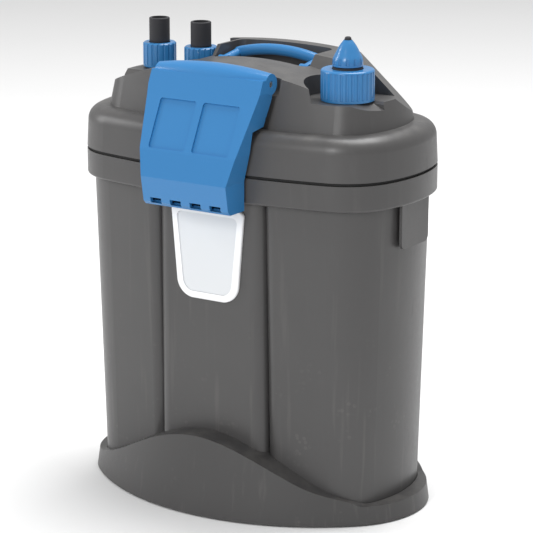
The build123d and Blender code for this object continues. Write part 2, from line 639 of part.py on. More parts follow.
def latch_roll(pin_z, inset=0.0):
    """Barrel round the pin, thickest in the middle, which gives the arched top."""
    half = LATCH_TOP_X - inset
    r0 = ROLL_R - inset
    r1 = ROLL_END_R - inset
    edges = [ThreePointArc((-half, r1), (0, r0), (half, r1)), Line((half, r1), (half, 0)),
             Line((half, 0), (-half, 0)), Line((-half, 0), (-half, r1))]
    return Pos(0, -LATCH_PIN_Y, pin_z) * revolve(make_face(edges), Axis.X)


def front_latch(pin_z):
    """Clamp lever: hollow cover with cheeks, roll at the top, lip at the bottom and two sunk panels."""
    body = extrude(latch_profile(pin_z), amount=LATCH_TOP_X + 5, both=True) & latch_front(pin_z)
    for y, z, r in ((-PANEL_FOOT_Y, PANEL_FOOT_Z, 12.0), (-LATCH_CREASE_Y, LATCH_CREASE_Z, 3.0),
                    (-LATCH_BOTTOM_Y, LATCH_BOTTOM_Z, 2.0)):
        edges = [e for e in body.edges().filter_by(Axis.X) if abs(e.center().Y - y) < 0.5
                 and abs(e.center().Z - z) < 0.5]
        body = fillet(edges, r)
    hollow = extrude(latch_profile(pin_z, LATCH_WALL), amount=LATCH_TOP_X + 5, both=True)
    hollow &= latch_front(pin_z, LATCH_WALL)
    roll = latch_roll(pin_z)
    body = body + roll
    body -= hollow & box(-100, 100, -150, -LATCH_PIN_Y - 3, 200, pin_z - 4)
    body -= latch_roll(pin_z, LATCH_WALL) - box(-100, 100, -200, -LATCH_PIN_Y - 20, 200, 400)
    body -= box(-LATCH_TOP_X + LATCH_WALL, LATCH_TOP_X - LATCH_WALL, -LATCH_PIN_Y - 3, 0, 200, pin_z - 2)
    for x in (-LUG_X - LUG_T / 2, LUG_X + LUG_T / 2):
        half = LUG_T / 2 + 1.0
        body -= box(x - half, x + half, -LATCH_PIN_Y - 3, -LATCH_PIN_Y + 20, pin_z - 30, pin_z + 8.5)
    body -= rod_x(-100, 100, -LATCH_PIN_Y, pin_z, PIN_R + RUN_FIT)
    return body - panels(pin_z) - lip_slots()


def panels(pin_z):
    """Two sunk panels on the sloping face."""
    knee = Vector(0, -LATCH_KNEE_Y, pin_z - LATCH_KNEE_DROP)
    foot = Vector(0, -PANEL_FOOT_Y, PANEL_FOOT_Z)
    up = (knee - foot).normalized()
    plane = Plane(origin=foot, x_dir=(1, 0, 0), z_dir=Vector(1, 0, 0).cross(up))
    length = (knee - foot).length
    tools = Part()
    for side in (-1, 1):
        x0, x1 = sorted((side * PANEL_BAR, side * PANEL_X))
        tool = Pos((x0 + x1) / 2, length / 2, 0) * Box(x1 - x0, length - 3, 2 * PANEL_SINK)
        tools += plane * fillet(tool.edges().filter_by(Axis.Z), 2.0)
    return tools


def lip_slots():
    """Four slots in the lower edge."""
    tools = Part()
    for x in (-27.0, -9.0, 9.0, 27.0):
        tools += Pos(x, -LATCH_BOTTOM_Y, LATCH_BOTTOM_Z + 1) * Box(10, 12, 4.5)
    return tools


def latch_pin(pin_z):
    """Pivot pin of the front latch, pressed into the lugs."""
    return rod_x(-LATCH_TOP_X + 0.5, LATCH_TOP_X - 0.5, -LATCH_PIN_Y, pin_z, PIN_R)


# ---- hose connections --------------------------------------------------------
def nozzle(x):
    """Hose nozzle: stub in the spout, flange under the nut, smooth tail for the hose."""
    flange_z = NUT_SEAT_Z + SPOUT_H
    tail = rod(x, NOZZLE_Y, STUB_LOW_Z, flange_z, STUB_R)
    tail += rod(x, NOZZLE_Y, flange_z, flange_z + 2.4, SPOUT_R - 0.3)
    tail += rod(x, NOZZLE_Y, flange_z, NOZZLE_TOP_Z - 5, NOZZLE_R - NOZZLE_NECK)
    hose_end = rod(x, NOZZLE_Y, NUT_SEAT_Z + NUT_LIFT + NUT_H + 1.0, NOZZLE_TOP_Z, NOZZLE_R)
    tail += fillet(hose_end.edges().sort_by(Axis.Z)[-1], 0.8)
    return tail - rod(x, NOZZLE_Y, STUB_LOW_Z - 1, NOZZLE_TOP_Z + 1, NOZZLE_BORE)


def union_nut(x):
    """Ribbed union nut over the spout."""
    z0 = NUT_SEAT_Z + NUT_LIFT
    z1 = z0 + NUT_H
    nut = rod(x, NOZZLE_Y, z0, z1, NUT_R)
    nut = chamfer(nut.edges().filter_by(GeomType.CIRCLE), 1.0)
    for i in range(NUT_RIBS):
        a = 2 * math.pi * i / NUT_RIBS
        nut -= rod(x + (NUT_R + 0.5) * math.cos(a), NOZZLE_Y + (NUT_R + 0.5) * math.sin(a), z0 + 2.5, z1 + 1, 1.2)
    inner = NUT_SEAT_Z + SPOUT_H + 3.0
    nut -= rod(x, NOZZLE_Y, z0 - 1, inner, SPOUT_R + 0.3)
    return nut - rod(x, NOZZLE_Y, z0, z1 + 1, NOZZLE_R + 0.5)


def nozzle_seals():
    """O-rings between the stubs and the spouts."""
    rings = []
    for x in NOZZLE_XS:
        ring = rod(x, NOZZLE_Y, NUT_SEAT_Z + 1, NUT_SEAT_Z + 3.4, SPOUT_BORE)
        rings.append((ring - rod(x, NOZZLE_Y, NUT_SEAT_Z, NUT_SEAT_Z + 5, STUB_R)).solids()[0])
    return Compound(children=rings)


def inlet_duct():
    """From the inlet nozzle down through the head base."""
    x = NOZZLE_XS[0]
    duct = rod(x, NOZZLE_Y, RISER_TOP_Z + 1, STUB_LOW_Z, DUCT_R)
    return duct - rod(x, NOZZLE_Y, RISER_TOP_Z, STUB_LOW_Z + 1, DUCT_BORE)


def outlet_duct():
    """From the pump housing up to the outlet nozzle."""
    x = NOZZLE_XS[1]
    start = MOTOR_X - HOUSING_R + 1.0
    bend = DUCT_R + 3
    path = FilletPolyline((start, NOZZLE_Y, DUCT_Z), (x, NOZZLE_Y, DUCT_Z), (x, NOZZLE_Y, STUB_LOW_Z), radius=bend)
    plane = Plane(origin=(start, NOZZLE_Y, DUCT_Z), z_dir=(-1, 0, 0))
    outer = sweep(plane * Circle(DUCT_R), path=path)
    return outer - sweep(plane * Circle(DUCT_BORE), path=path) - rod(MOTOR_X, MOTOR_Y, 200, 300, HOUSING_R)


def riser_pipe():
    """Takes the incoming water to the bottom of the vessel."""
    x = NOZZLE_XS[0]
    pipe = rod(x, NOZZLE_Y, RISER_LOW_Z, RISER_TOP_Z, RISER_R)
    pipe = pipe - rod(x, NOZZLE_Y, RISER_LOW_Z - 1, RISER_TOP_Z + 1, RISER_R - 1.6)
    for i in range(4):
        pipe -= Pos(x, NOZZLE_Y, RISER_LOW_Z + 4) * Rot(0, 0, 45 * i) * Box(40, 4, 8)
    for z in (RISER_LOW_Z + 8,):
        foot = rod(x, NOZZLE_Y, FLOOR_Z + WALL, z, RISER_R)
        foot -= rod(x, NOZZLE_Y, FLOOR_Z, z + 1, RISER_R - 1.6)
        for i in range(3):
            foot -= Pos(x, NOZZLE_Y, RISER_LOW_Z - 3) * Rot(0, 0, 60 * i) * Box(40, 6, 14)
        pipe += foot
    return pipe


# ---- pump --------------------------------------------------------------------
def motor_block():
    """Potted stator with the rotor well."""
    block = Pos(MOTOR_X, MOTOR_Y, (PLATE_TOP_Z + MOTOR_TOP_Z) / 2) * Box(*MOTOR_SIZE, MOTOR_TOP_Z - PLATE_TOP_Z)
    block = fillet(block.edges().filter_by(Axis.Z), 8.0)
    block = fillet(block.faces().sort_by(Axis.Z)[-1].edges(), 4.0)
    return block - rod(MOTOR_X, MOTOR_Y, PLATE_TOP_Z - 1, MOTOR_TOP_Z - 4, WELL_R)


SHAFT_TOP_Z = MOTOR_TOP_Z - 4.2
BUSH_H = 5.0


def upper_bush():
    """Rubber bush at the closed end of the rotor well."""
    bush = rod(MOTOR_X, MOTOR_Y, SHAFT_TOP_Z - BUSH_H, MOTOR_TOP_Z - 4, 5.0)
    return bush - rod(MOTOR_X, MOTOR_Y, SHAFT_TOP_Z - BUSH_H - 1, SHAFT_TOP_Z, SHAFT_R)


def lower_bush():
    """Rubber bush in the impeller cover."""
    z0 = HOUSING_LOW_Z - COVER_T
    bush = rod(MOTOR_X, MOTOR_Y, z0 + 1, HOUSING_LOW_Z + 1.5, 3.4)
    return bush - rod(MOTOR_X, MOTOR_Y, z0 + 2, HOUSING_LOW_Z + 2, SHAFT_R)


def impeller_shaft():
    """Ceramic shaft between the two bushes."""
    return rod(MOTOR_X, MOTOR_Y, HOUSING_LOW_Z - COVER_T + 2, SHAFT_TOP_Z, SHAFT_R)


ROTOR_LOW_Z = HOUSING_LOW_Z + 3.0


def rotor_magnet():
    """Magnet sleeve on the impeller's hub."""
    top = SHAFT_TOP_Z - BUSH_H - 1.0
    low = ROTOR_LOW_Z + 17.0
    sleeve = rod(MOTOR_X, MOTOR_Y, low, top, MAGNET_R)
    sleeve = chamfer(sleeve.edges().filter_by(GeomType.CIRCLE), 0.8)
    return sleeve - rod(MOTOR_X, MOTOR_Y, low - 1, top + 1, 4.0)


def impeller():
    """Vaned wheel with a hub that carries the magnet."""
    top = SHAFT_TOP_Z - BUSH_H - 0.8
    wheel = rod(MOTOR_X, MOTOR_Y, ROTOR_LOW_Z + 13.0, ROTOR_LOW_Z + 16.0, IMPELLER_R)
    wheel += rod(MOTOR_X, MOTOR_Y, ROTOR_LOW_Z, top, 4.0)
    for i in range(6):
        vane = Pos(IMPELLER_R / 2 + 1, 0, ROTOR_LOW_Z + 7.5) * Box(IMPELLER_R - 3, 2.0, 12.0)
        wheel += Pos(MOTOR_X, MOTOR_Y, 0) * Rot(0, 0, 60 * i) * vane
    return wheel - rod(MOTOR_X, MOTOR_Y, ROTOR_LOW_Z - 1, top + 1, SHAFT_R + RUN_FIT)


def pump_housing():
    """Cup round the impeller, under the head base."""
    cup = rod(MOTOR_X, MOTOR_Y, HOUSING_LOW_Z, PLATE_Z, HOUSING_R)
    cup -= rod(MOTOR_X, MOTOR_Y, HOUSING_LOW_Z - 1, PLATE_Z + 1, HOUSING_R - HOUSING_WALL)
    return cup - (Pos((MOTOR_X - HOUSING_R), NOZZLE_Y, DUCT_Z) * Rot(0, 90, 0) * Cylinder(DUCT_BORE, 14))


def impeller_cover():
    """Closes the pump housing; water enters through its slots."""
    z0 = HOUSING_LOW_Z - COVER_T
    cover = rod(MOTOR_X, MOTOR_Y, z0, HOUSING_LOW_Z, HOUSING_R)
    cover = chamfer(cover.edges().filter_by(GeomType.CIRCLE).sort_by(Axis.Z)[0], 1.0)
    for i in range(8):
        slot = Pos(11.5, 0, z0 + COVER_T / 2) * Box(13, 3.6, COVER_T + 2)
        cover -= Pos(MOTOR_X, MOTOR_Y, 0) * Rot(0, 0, 45 * i) * slot
    return cover - rod(MOTOR_X, MOTOR_Y, z0 + 1, HOUSING_LOW_Z + 1, 3.4)


# ---- heater ------------------------------------------------------------------
def heater_nut():
    """Ribbed nut that holds the heater in the head."""
    z0 = HEATER_SEAT_Z + NUT_LIFT
    z1 = z0 + HEATER_NUT_H
    nut = rod(HEATER_X, HEATER_Y, z0, z1, HEATER_NUT_R)
    nut = fillet(nut.edges().filter_by(GeomType.CIRCLE).sort_by(Axis.Z)[-1], 2.0)
    for i in range(HEATER_RIBS):
        a = 2 * math.pi * i / HEATER_RIBS
        r = HEATER_NUT_R + 0.5
        nut -= rod(HEATER_X + r * math.cos(a), HEATER_Y + r * math.sin(a), z0 + 2, z1 - 1.5, 1.3)
    nut -= rod(HEATER_X, HEATER_Y, z0 - 1, HEATER_SEAT_Z + HEATER_SPOUT_H + 3.2, HEATER_SPOUT_R + 0.3)
    return nut - rod(HEATER_X, HEATER_Y, z0, z1 + 1, HEATER_BODY_R + 0.5)


def heater_head():
    """Closed top of the heater, with the flange under the nut and the stem of the knob."""
    flange_z = HEATER_SEAT_Z + HEATER_SPOUT_H
    body = rod(HEATER_X, HEATER_Y, PLATE_Z - 4, KNOB_LOW_Z - 0.6, HEATER_BODY_R)
    body += rod(HEATER_X, HEATER_Y, flange_z, flange_z + 2.4, HEATER_SPOUT_R - 0.3)
    body += rod(HEATER_X, HEATER_Y, KNOB_LOW_Z - 2, KNOB_TOP_Z - 4, 3.0)
    return body - rod(HEATER_X, HEATER_Y, PLATE_Z - 5, PLATE_Z + 8, TUBE_R)


def knob():
    """Bullet-shaped grip that sets the temperature."""
    low, top = KNOB_LOW_Z, KNOB_TOP_Z
    rise = top - low
    side = [(KNOB_R, 3.0), (KNOB_R * 0.8, rise * 0.5), (KNOB_R * 0.56, rise * 0.77), (3.2, rise)]
    edges = [Line((0, 0), (KNOB_R, 0)), Line((KNOB_R, 0), side[0]),
             Spline(side, tangents=[(0, 1), (-0.8, 1)]),
             Line(side[-1], (0, rise)), Line((0, rise), (0, 0))]
    grip = Pos(HEATER_X, HEATER_Y, low) * revolve(Plane.XZ * make_face(edges), Axis.Z)
    for i in range(12):
        notch = Pos(KNOB_R + 0.6, 0, low + 4) * Cylinder(1.5, 5)
        grip -= Pos(HEATER_X, HEATER_Y, 0) * Rot(0, 0, 30 * i) * notch
    return grip - rod(HEATER_X, HEATER_Y, low - 1, top + 1, 3.0 + RUN_FIT * 2)


def knob_tip():
    """Dark end of the stem, where the heater's cord leaves."""
    tip = rod(HEATER_X, HEATER_Y, KNOB_TOP_Z - 4, TIP_TOP_Z, 2.6)
    tip = fillet(tip.edges().filter_by(GeomType.CIRCLE).sort_by(Axis.Z)[-1], 1.8)
    return tip


def heater_tube():
    """Closed glass tube."""
    tube = rod(HEATER_X, HEATER_Y, TUBE_LOW_Z, PLATE_Z + 8, TUBE_R)
    tube = fillet(tube.edges().sort_by(Axis.Z)[0], TUBE_R - 2)
    bore = rod(HEATER_X, HEATER_Y, TUBE_LOW_Z + TUBE_WALL, PLATE_Z + 9, TUBE_R - TUBE_WALL)
    return tube - fillet(bore.edges().sort_by(Axis.Z)[0], TUBE_R - TUBE_WALL - 2)


def heater_core():
    """Ceramic core."""
    core = rod(HEATER_X, HEATER_Y, TUBE_LOW_Z + 8, PLATE_Z + 6, 5.5)
    return core + rod(HEATER_X, HEATER_Y, TUBE_LOW_Z + 1.4, TUBE_LOW_Z + 9, 3.0)


def heater_winding():
    """Resistance winding on the core, as one ridged sleeve."""
    z0 = TUBE_LOW_Z + 16
    points = [(5.5, z0)]
    for i in range(30):
        points += [(6.6, z0 + 1.6 + 4 * i), (6.6, z0 + 2.8 + 4 * i), (5.9, z0 + 4 + 4 * i)]
    points += [(5.5, z0 + 121), (5.5, z0)]
    return Pos(HEATER_X, HEATER_Y, 0) * revolve(Plane.XZ * make_face(Polyline(points).edges()), Axis.Z)


def heater_guard():
    """Slotted cage round the glass, hanging from the head base."""
    low = TUBE_LOW_Z - 8
    cage = rod(HEATER_X, HEATER_Y, low, PLATE_Z, 16.5) - rod(HEATER_X, HEATER_Y, low + 2, PLATE_Z + 1, 14.6)
    for z in (low + 12, low + 56, low + 100, low + 144):
        for i in range(4):
            cage -= Pos(HEATER_X, HEATER_Y, z + 18) * Rot(0, 0, 45 * i) * Box(60, 6.5, 36)
    return cage


# ---- baskets -----------------------------------------------------------------
def basket_box(inset, z0, z1):
    """Rounded block of a basket's plan, moved inwards by inset."""
    block = box(BASKET_X0 + inset, BASKET_X1 - inset, -BASKET_HALF_Y + inset, BASKET_HALF_Y - inset, z0, z1)
    return fillet(block.edges().filter_by(Axis.Z), BASKET_CORNER - inset)


def basket(z0):
    """Open-topped basket with a slotted floor and finger tabs."""
    z1 = z0 + BASKET_H
    shell = basket_box(BASKET_RIM, z0, z1) + basket_box(0, z1 - 3, z1)
    shell -= basket_box(BASKET_RIM + BASKET_WALL, z0 + BASKET_WALL, z1 + 1)
    length = BASKET_X1 - BASKET_X0
    slots = Part()
    for i in range(10):
        x = BASKET_X0 + length * (i + 0.5) / 10
        for y in (-26.0, 0.0, 26.0):
            slots += Pos(x, y, z0) * Box(6, 20, 8)
    pivot = rod_x(2 * BASKET_X0, 2 * BASKET_X1, 0, z1 - BAIL_Z_DROP, BAIL_PIN_R + RUN_FIT)
    return shell - slots - pivot


def foam(z0):
    """Foam pad in a basket."""
    inset = BASKET_RIM + BASKET_WALL + FOAM_GAP
    return basket_box(inset, z0 + BASKET_WALL + FOAM_GAP, z0 + BASKET_H - 9)


def basket_bail(z0):
    """Folding handle of the top basket, lying down."""
    z = z0 + BASKET_H - BAIL_Z_DROP
    x0 = BASKET_X0 + BASKET_RIM + BASKET_WALL + 0.4
    x1 = BASKET_X1 - BASKET_RIM - BASKET_WALL - 0.4
    bar = box(x0, x1, BAIL_REACH - BAIL_W, BAIL_REACH, z - BAIL_T / 2, z + BAIL_T / 2)
    bar = bar & basket_box(BASKET_RIM + BASKET_WALL + 0.4, z - 10, z + 10)
    for x, f in ((x0, 1), (x1, -1)):
        a, b = sorted((x, x + f * BAIL_T))
        bar += box(a, b, 0, BAIL_REACH - 10, z - BAIL_T / 2, z + BAIL_T / 2)
        c, d = sorted((x - f * 1.6, x + f * BAIL_T))
        bar += rod_x(a, b, 0, z, 2.6) + rod_x(c, d, 0, z, BAIL_PIN_R)
    corner = basket_box(BASKET_RIM + BASKET_WALL + 0.4, z - BAIL_T / 2, z + BAIL_T / 2)
    corner -= basket_box(BASKET_RIM + BASKET_WALL + 0.4 + BAIL_T, z - 10, z + 10)
    return bar + (corner & box(-200, 200, BAIL_REACH - 12, BAIL_REACH, z - 5, z + 5))


def bottom_grid():
    """Perforated plate that carries the baskets clear of the vessel's floor."""
    plate = basket_box(0, GRID_Z, GRID_Z + GRID_T)
    for i in range(9):
        for y in (-30.0, -10.0, 10.0, 30.0):
            plate -= Pos(BASKET_X0 + 16 * (i + 0.5), y, GRID_Z) * Box(11, 12, 20)
    for x in (BASKET_X0 + 12, BASKET_X1 - 12):
        for y in (-30, 30):
            plate += rod(x, y, FLOOR_Z + WALL, GRID_Z, 3.0)
    return plate


# ---- carry handle ------------------------------------------------------------
def carry_handle():
    """Folding handle in the well: arched bar and two arms."""
    arc = ThreePointArc((-HANDLE_X, HANDLE_BAR_Y, HANDLE_END_Z), (0, HANDLE_BAR_Y, HANDLE_END_Z + HANDLE_RISE),
                        (HANDLE_X, HANDLE_BAR_Y, HANDLE_END_Z))
    start = Plane(origin=arc @ 0, z_dir=arc % 0)
    bar = sweep(start * Circle(HANDLE_BAR_R), path=arc)
    for x in (-HANDLE_X, HANDLE_X):
        bar += Pos(x, HANDLE_BAR_Y, HANDLE_END_Z) * Sphere(HANDLE_BAR_R)
        arm = Plane(origin=(x, HANDLE_PIVOT_Y, HANDLE_PIVOT_Z),
                    z_dir=(0, HANDLE_BAR_Y - HANDLE_PIVOT_Y, HANDLE_END_Z - HANDLE_PIVOT_Z))
        length = math.hypot(HANDLE_BAR_Y - HANDLE_PIVOT_Y, HANDLE_END_Z - HANDLE_PIVOT_Z)
        bar += arm * Pos(0, 0, length / 2) * Cylinder(3.6, length)
        bar += rod_x(x - 4, x + 4, HANDLE_PIVOT_Y, HANDLE_PIVOT_Z, 3.8)
    return bar - rod_x(-100, 100, HANDLE_PIVOT_Y, HANDLE_PIVOT_Z, HANDLE_PIN_R + RUN_FIT)


def handle_pins():
    """Two pins pressed into the walls of the well."""
    pins = [rod_x(*sorted((s * (HANDLE_X - 4.5), s * (WELL_X + 3.0))), HANDLE_PIVOT_Y, HANDLE_PIVOT_Z, HANDLE_PIN_R)
            for s in (-1, 1)]
    return Compound(children=[pin.solids()[0] for pin in pins])


# ---- all nodes ---------------------------------------------------------------
save("canister", canister())
save("base_foot", base_foot())
save("rubber_feet", rubber_feet())
badge_frame, badge_inlay = badge()
save("badge_frame", badge_frame)
save("badge_inlay", badge_inlay)
save("bottom_grid", bottom_grid())
save("riser_pipe", riser_pipe())
save("head_shell", head_shell())
save("head_base", head_base())
save("head_gasket", gasket())
save("head_screws", head_screws())
save("cord_gland", cord_gland())
save("front_latch", front_latch(FRONT_PIN_Z))
save("front_latch_pin", latch_pin(FRONT_PIN_Z))
save("rear_latch", mirror_y(front_latch(REAR_PIN_Z)))
save("rear_latch_pin", mirror_y(latch_pin(REAR_PIN_Z)))
save("carry_handle", carry_handle())
save("handle_pins", handle_pins())
for name, x in zip(("inlet", "outlet"), NOZZLE_XS):
    save(f"{name}_nozzle", nozzle(x))
    save(f"{name}_union_nut", union_nut(x))
save("nozzle_seals", nozzle_seals())
save("inlet_duct", inlet_duct())
save("outlet_duct", outlet_duct())
save("motor_block", motor_block())
save("upper_bush", upper_bush())
save("lower_bush", lower_bush())
save("impeller_shaft", impeller_shaft())
save("rotor_magnet", rotor_magnet())
save("impeller", impeller())
save("pump_housing", pump_housing())
save("impeller_cover", impeller_cover())
save("heater_nut", heater_nut())
save("heater_head", heater_head())
save("temperature_knob", knob())
save("heater_tip", knob_tip())
save("heater_tube", heater_tube())
save("heater_core", heater_core())
save("heater_winding", heater_winding())
save("heater_guard", heater_guard())
for level, name in enumerate(("lower", "middle", "upper")):
    z = BASKET_LOW_Z + level * BASKET_PITCH
    save(f"{name}_basket", basket(z))
    save(f"{name}_foam", foam(z))
save("basket_bail", basket_bail(BASKET_LOW_Z + 2 * BASKET_PITCH))
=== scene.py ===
import logging
import math
from dataclasses import dataclass, field
from enum import Enum
from typing import Mapping, Sequence, Union

import bmesh
import bpy
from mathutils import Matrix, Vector, noise


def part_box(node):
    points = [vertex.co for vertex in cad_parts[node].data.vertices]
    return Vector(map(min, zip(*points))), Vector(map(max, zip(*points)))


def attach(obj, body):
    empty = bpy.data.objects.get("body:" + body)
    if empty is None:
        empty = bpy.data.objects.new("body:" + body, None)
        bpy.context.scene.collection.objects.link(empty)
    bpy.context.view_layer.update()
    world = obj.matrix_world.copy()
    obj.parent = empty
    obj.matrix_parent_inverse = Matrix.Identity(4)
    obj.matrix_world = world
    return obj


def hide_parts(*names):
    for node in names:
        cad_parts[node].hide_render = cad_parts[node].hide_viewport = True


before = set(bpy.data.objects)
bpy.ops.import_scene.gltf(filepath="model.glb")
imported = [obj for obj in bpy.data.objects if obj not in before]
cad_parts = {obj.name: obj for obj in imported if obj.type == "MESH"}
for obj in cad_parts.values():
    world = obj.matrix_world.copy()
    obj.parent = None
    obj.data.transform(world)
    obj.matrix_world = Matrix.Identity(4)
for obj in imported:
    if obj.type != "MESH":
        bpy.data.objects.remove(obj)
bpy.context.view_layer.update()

log = logging.getLogger("canister_filter")

MM = 0.001
Colour = tuple[float, float, float]


def srgb(red: float, green: float, blue: float) -> Colour:
    """Turn display values into linear light.

    Args:
        red: Red, 0 to 255.
        green: Green, 0 to 255.
        blue: Blue, 0 to 255.

    Returns:
        The linear colour.
    """
    return tuple(((v / 255 + 0.055) / 1.055) ** 2.4 if v > 10.3 else v / 255 / 12.92 for v in (red, green, blue))


# ---- shader sockets ----------------------------------------------------------
class Kind(Enum):
    """What a socket carries."""

    VALUE = "value"
    COLOUR = "colour"
    VECTOR = "vector"


Operand = Union["Socket", float, Sequence[float]]


@dataclass(frozen=True)
class Socket:
    """One output in a material's node tree, with arithmetic that adds nodes."""

    graph: "Graph"
    output: bpy.types.NodeSocket
    kind: Kind = Kind.VALUE

    def __add__(self, other: Operand) -> "Socket":
        return self.graph.combine("ADD", self, other)

    def __radd__(self, other: Operand) -> "Socket":
        return self.graph.combine("ADD", other, self)

    def __sub__(self, other: Operand) -> "Socket":
        return self.graph.combine("SUBTRACT", self, other)

    def __rsub__(self, other: Operand) -> "Socket":
        return self.graph.combine("SUBTRACT", other, self)

    def __mul__(self, other: Operand) -> "Socket":
        return self.graph.combine("MULTIPLY", self, other)

    def __rmul__(self, other: Operand) -> "Socket":
        return self.graph.combine("MULTIPLY", other, self)

    def __truediv__(self, other: Operand) -> "Socket":
        return self.graph.combine("DIVIDE", self, other)

    def __rtruediv__(self, other: Operand) -> "Socket":
        return self.graph.combine("DIVIDE", other, self)

    def __pow__(self, other: Operand) -> "Socket":
        return self.graph.combine("POWER", self, other)

    def __neg__(self) -> "Socket":
        return self.graph.combine("MULTIPLY", self, -1.0)


class Graph:
    """Node tree of one material, with the few building blocks that the finishes share."""

    def __init__(self, material: bpy.types.Material) -> None:
        material.use_nodes = True
        self.tree = material.node_tree
        self.shader = next(n for n in self.tree.nodes if n.type == "BSDF_PRINCIPLED")

    def node(self, kind: str, settings: Mapping[str, object] | None = None,
             inputs: Mapping[str | int, Operand] | None = None) -> bpy.types.Node:
        """Add a node.

        Args:
            kind: Blender's node type.
            settings: Attribute values of the node.
            inputs: Socket name or number, and the value or link it gets.

        Returns:
            The new node.
        """
        made = self.tree.nodes.new(kind)
        for key, value in (settings or {}).items():
            setattr(made, key, value)
        for key, value in (inputs or {}).items():
            self.feed(made.inputs[key], value)
        return made

    def feed(self, target: bpy.types.NodeSocket, value: Operand) -> None:
        """Link or set one input socket."""
        if isinstance(value, Socket):
            self.tree.links.new(value.output, target)
        elif isinstance(value, (int, float)) and hasattr(target.default_value, "__len__"):
            target.default_value = (value,) * len(target.default_value)
        elif isinstance(value, (int, float)):
            target.default_value = value
        else:
            target.default_value = (*value, 1.0)[:len(target.default_value)]

    def combine(self, operation: str, first: Operand, second: Operand) -> Socket:
        """Arithmetic on two operands: Mix for colours, Vector Math for vectors, Math for numbers."""
        kinds = {v.kind for v in (first, second) if isinstance(v, Socket)}
        if Kind.COLOUR in kinds:
            made = self.node("ShaderNodeMix", {"data_type": "RGBA", "blend_type": operation}, {0: 1.0})
            self.feed(made.inputs[6], first)
            self.feed(made.inputs[7], second)
            return Socket(self, made.outputs[2], Kind.COLOUR)
        if Kind.VECTOR in kinds:
            made = self.node("ShaderNodeVectorMath", {"operation": operation}, {0: first, 1: second})
            return Socket(self, made.outputs[0], Kind.VECTOR)
        made = self.node("ShaderNodeMath", {"operation": operation}, {0: first, 1: second})
        return Socket(self, made.outputs[0])

    def place(self) -> Socket:
        """Position in the object's own frame, in metres."""
        return Socket(self, self.node("ShaderNodeTexCoord").outputs["Object"], Kind.VECTOR)

    def facing_up(self) -> Socket:
        """How far the surface faces upwards, -1 to 1."""
        normal = Socket(self, self.node("ShaderNodeTexCoord").outputs["Normal"], Kind.VECTOR)
        return Socket(self, self.node("ShaderNodeSeparateXYZ", inputs={0: normal}).outputs[2])

    def height(self) -> Socket:
        """Z of the position, in metres."""
        return Socket(self, self.node("ShaderNodeSeparateXYZ", inputs={0: self.place()}).outputs[2])

    def noise(self, size: float, detail: float = 4.0, stretch: Sequence[float] = (1, 1, 1),
              rough: float = 0.55) -> Socket:
        """Fractal noise, 0 to 1.

        Args:
            size: Size of the largest blobs, in metres.
            detail: Number of octaves.
            stretch: Scale of each axis.
            rough: Share of the finer octaves.

        Returns:
            The noise value.
        """
        where = self.place() * tuple(s / size for s in stretch)
        made = self.node("ShaderNodeTexNoise", inputs={"Vector": where, "Scale": 1.0, "Detail": detail,
                                                       "Roughness": rough})
        return Socket(self, made.outputs[0])

    def cells(self, size: float, feature: str = "F1") -> Socket:
        """Distance to the nearest cell centre or cell border, in cell sizes."""
        made = self.node("ShaderNodeTexVoronoi", {"feature": feature},
                         {"Vector": self.place() * (1 / size), "Scale": 1.0})
        return Socket(self, made.outputs["Distance"])

    def step(self, value: Socket, low: float, high: float) -> Socket:
        """Smooth step from 0 at low to 1 at high."""
        made = self.node("ShaderNodeMapRange", {"interpolation_type": "SMOOTHSTEP"},
                         {"Value": value, "From Min": low, "From Max": high})
        return Socket(self, made.outputs[0])

    def mix(self, factor: Operand, first: Operand, second: Operand) -> Socket:
        """Blend of two colours."""
        made = self.node("ShaderNodeMix", {"data_type": "RGBA"}, {0: factor})
        self.feed(made.inputs[6], first)
        self.feed(made.inputs[7], second)
        return Socket(self, made.outputs[2], Kind.COLOUR)

    def bump(self, height: Socket, depth: float, under: Socket | None = None) -> Socket:
        """Relief from a height between 0 and 1.

        Args:
            height: The relief.
            depth: Depth of the relief, in metres.
            under: Relief to build on.

        Returns:
            The disturbed normal.
        """
        inputs = {"Height": height, "Distance": depth, "Strength": 1.0}
        if under:
            inputs["Normal"] = under
        return Socket(self, self.node("ShaderNodeBump", inputs=inputs).outputs[0], Kind.VECTOR)

    def set(self, **values: Operand) -> None:
        """Feed the surface shader; underscores in a name stand for spaces."""
        for key, value in values.items():
            self.feed(self.shader.inputs[key.replace("_", " ")], value)


# ---- finishes ----------------------------------------------------------------
@dataclass(frozen=True)
class Finish:
    """A surface finish, painted once and shared by every piece that has it."""

    name: str

    def paint(self, g: Graph) -> None:
        """Fill the material's node tree."""
        raise NotImplementedError

    def material(self) -> bpy.types.Material:
        """Return the material, made on first use."""
        found = bpy.data.materials.get(self.name)
        if found:
            return found
        made = bpy.data.materials.new(self.name)
        self.paint(Graph(made))
        return made


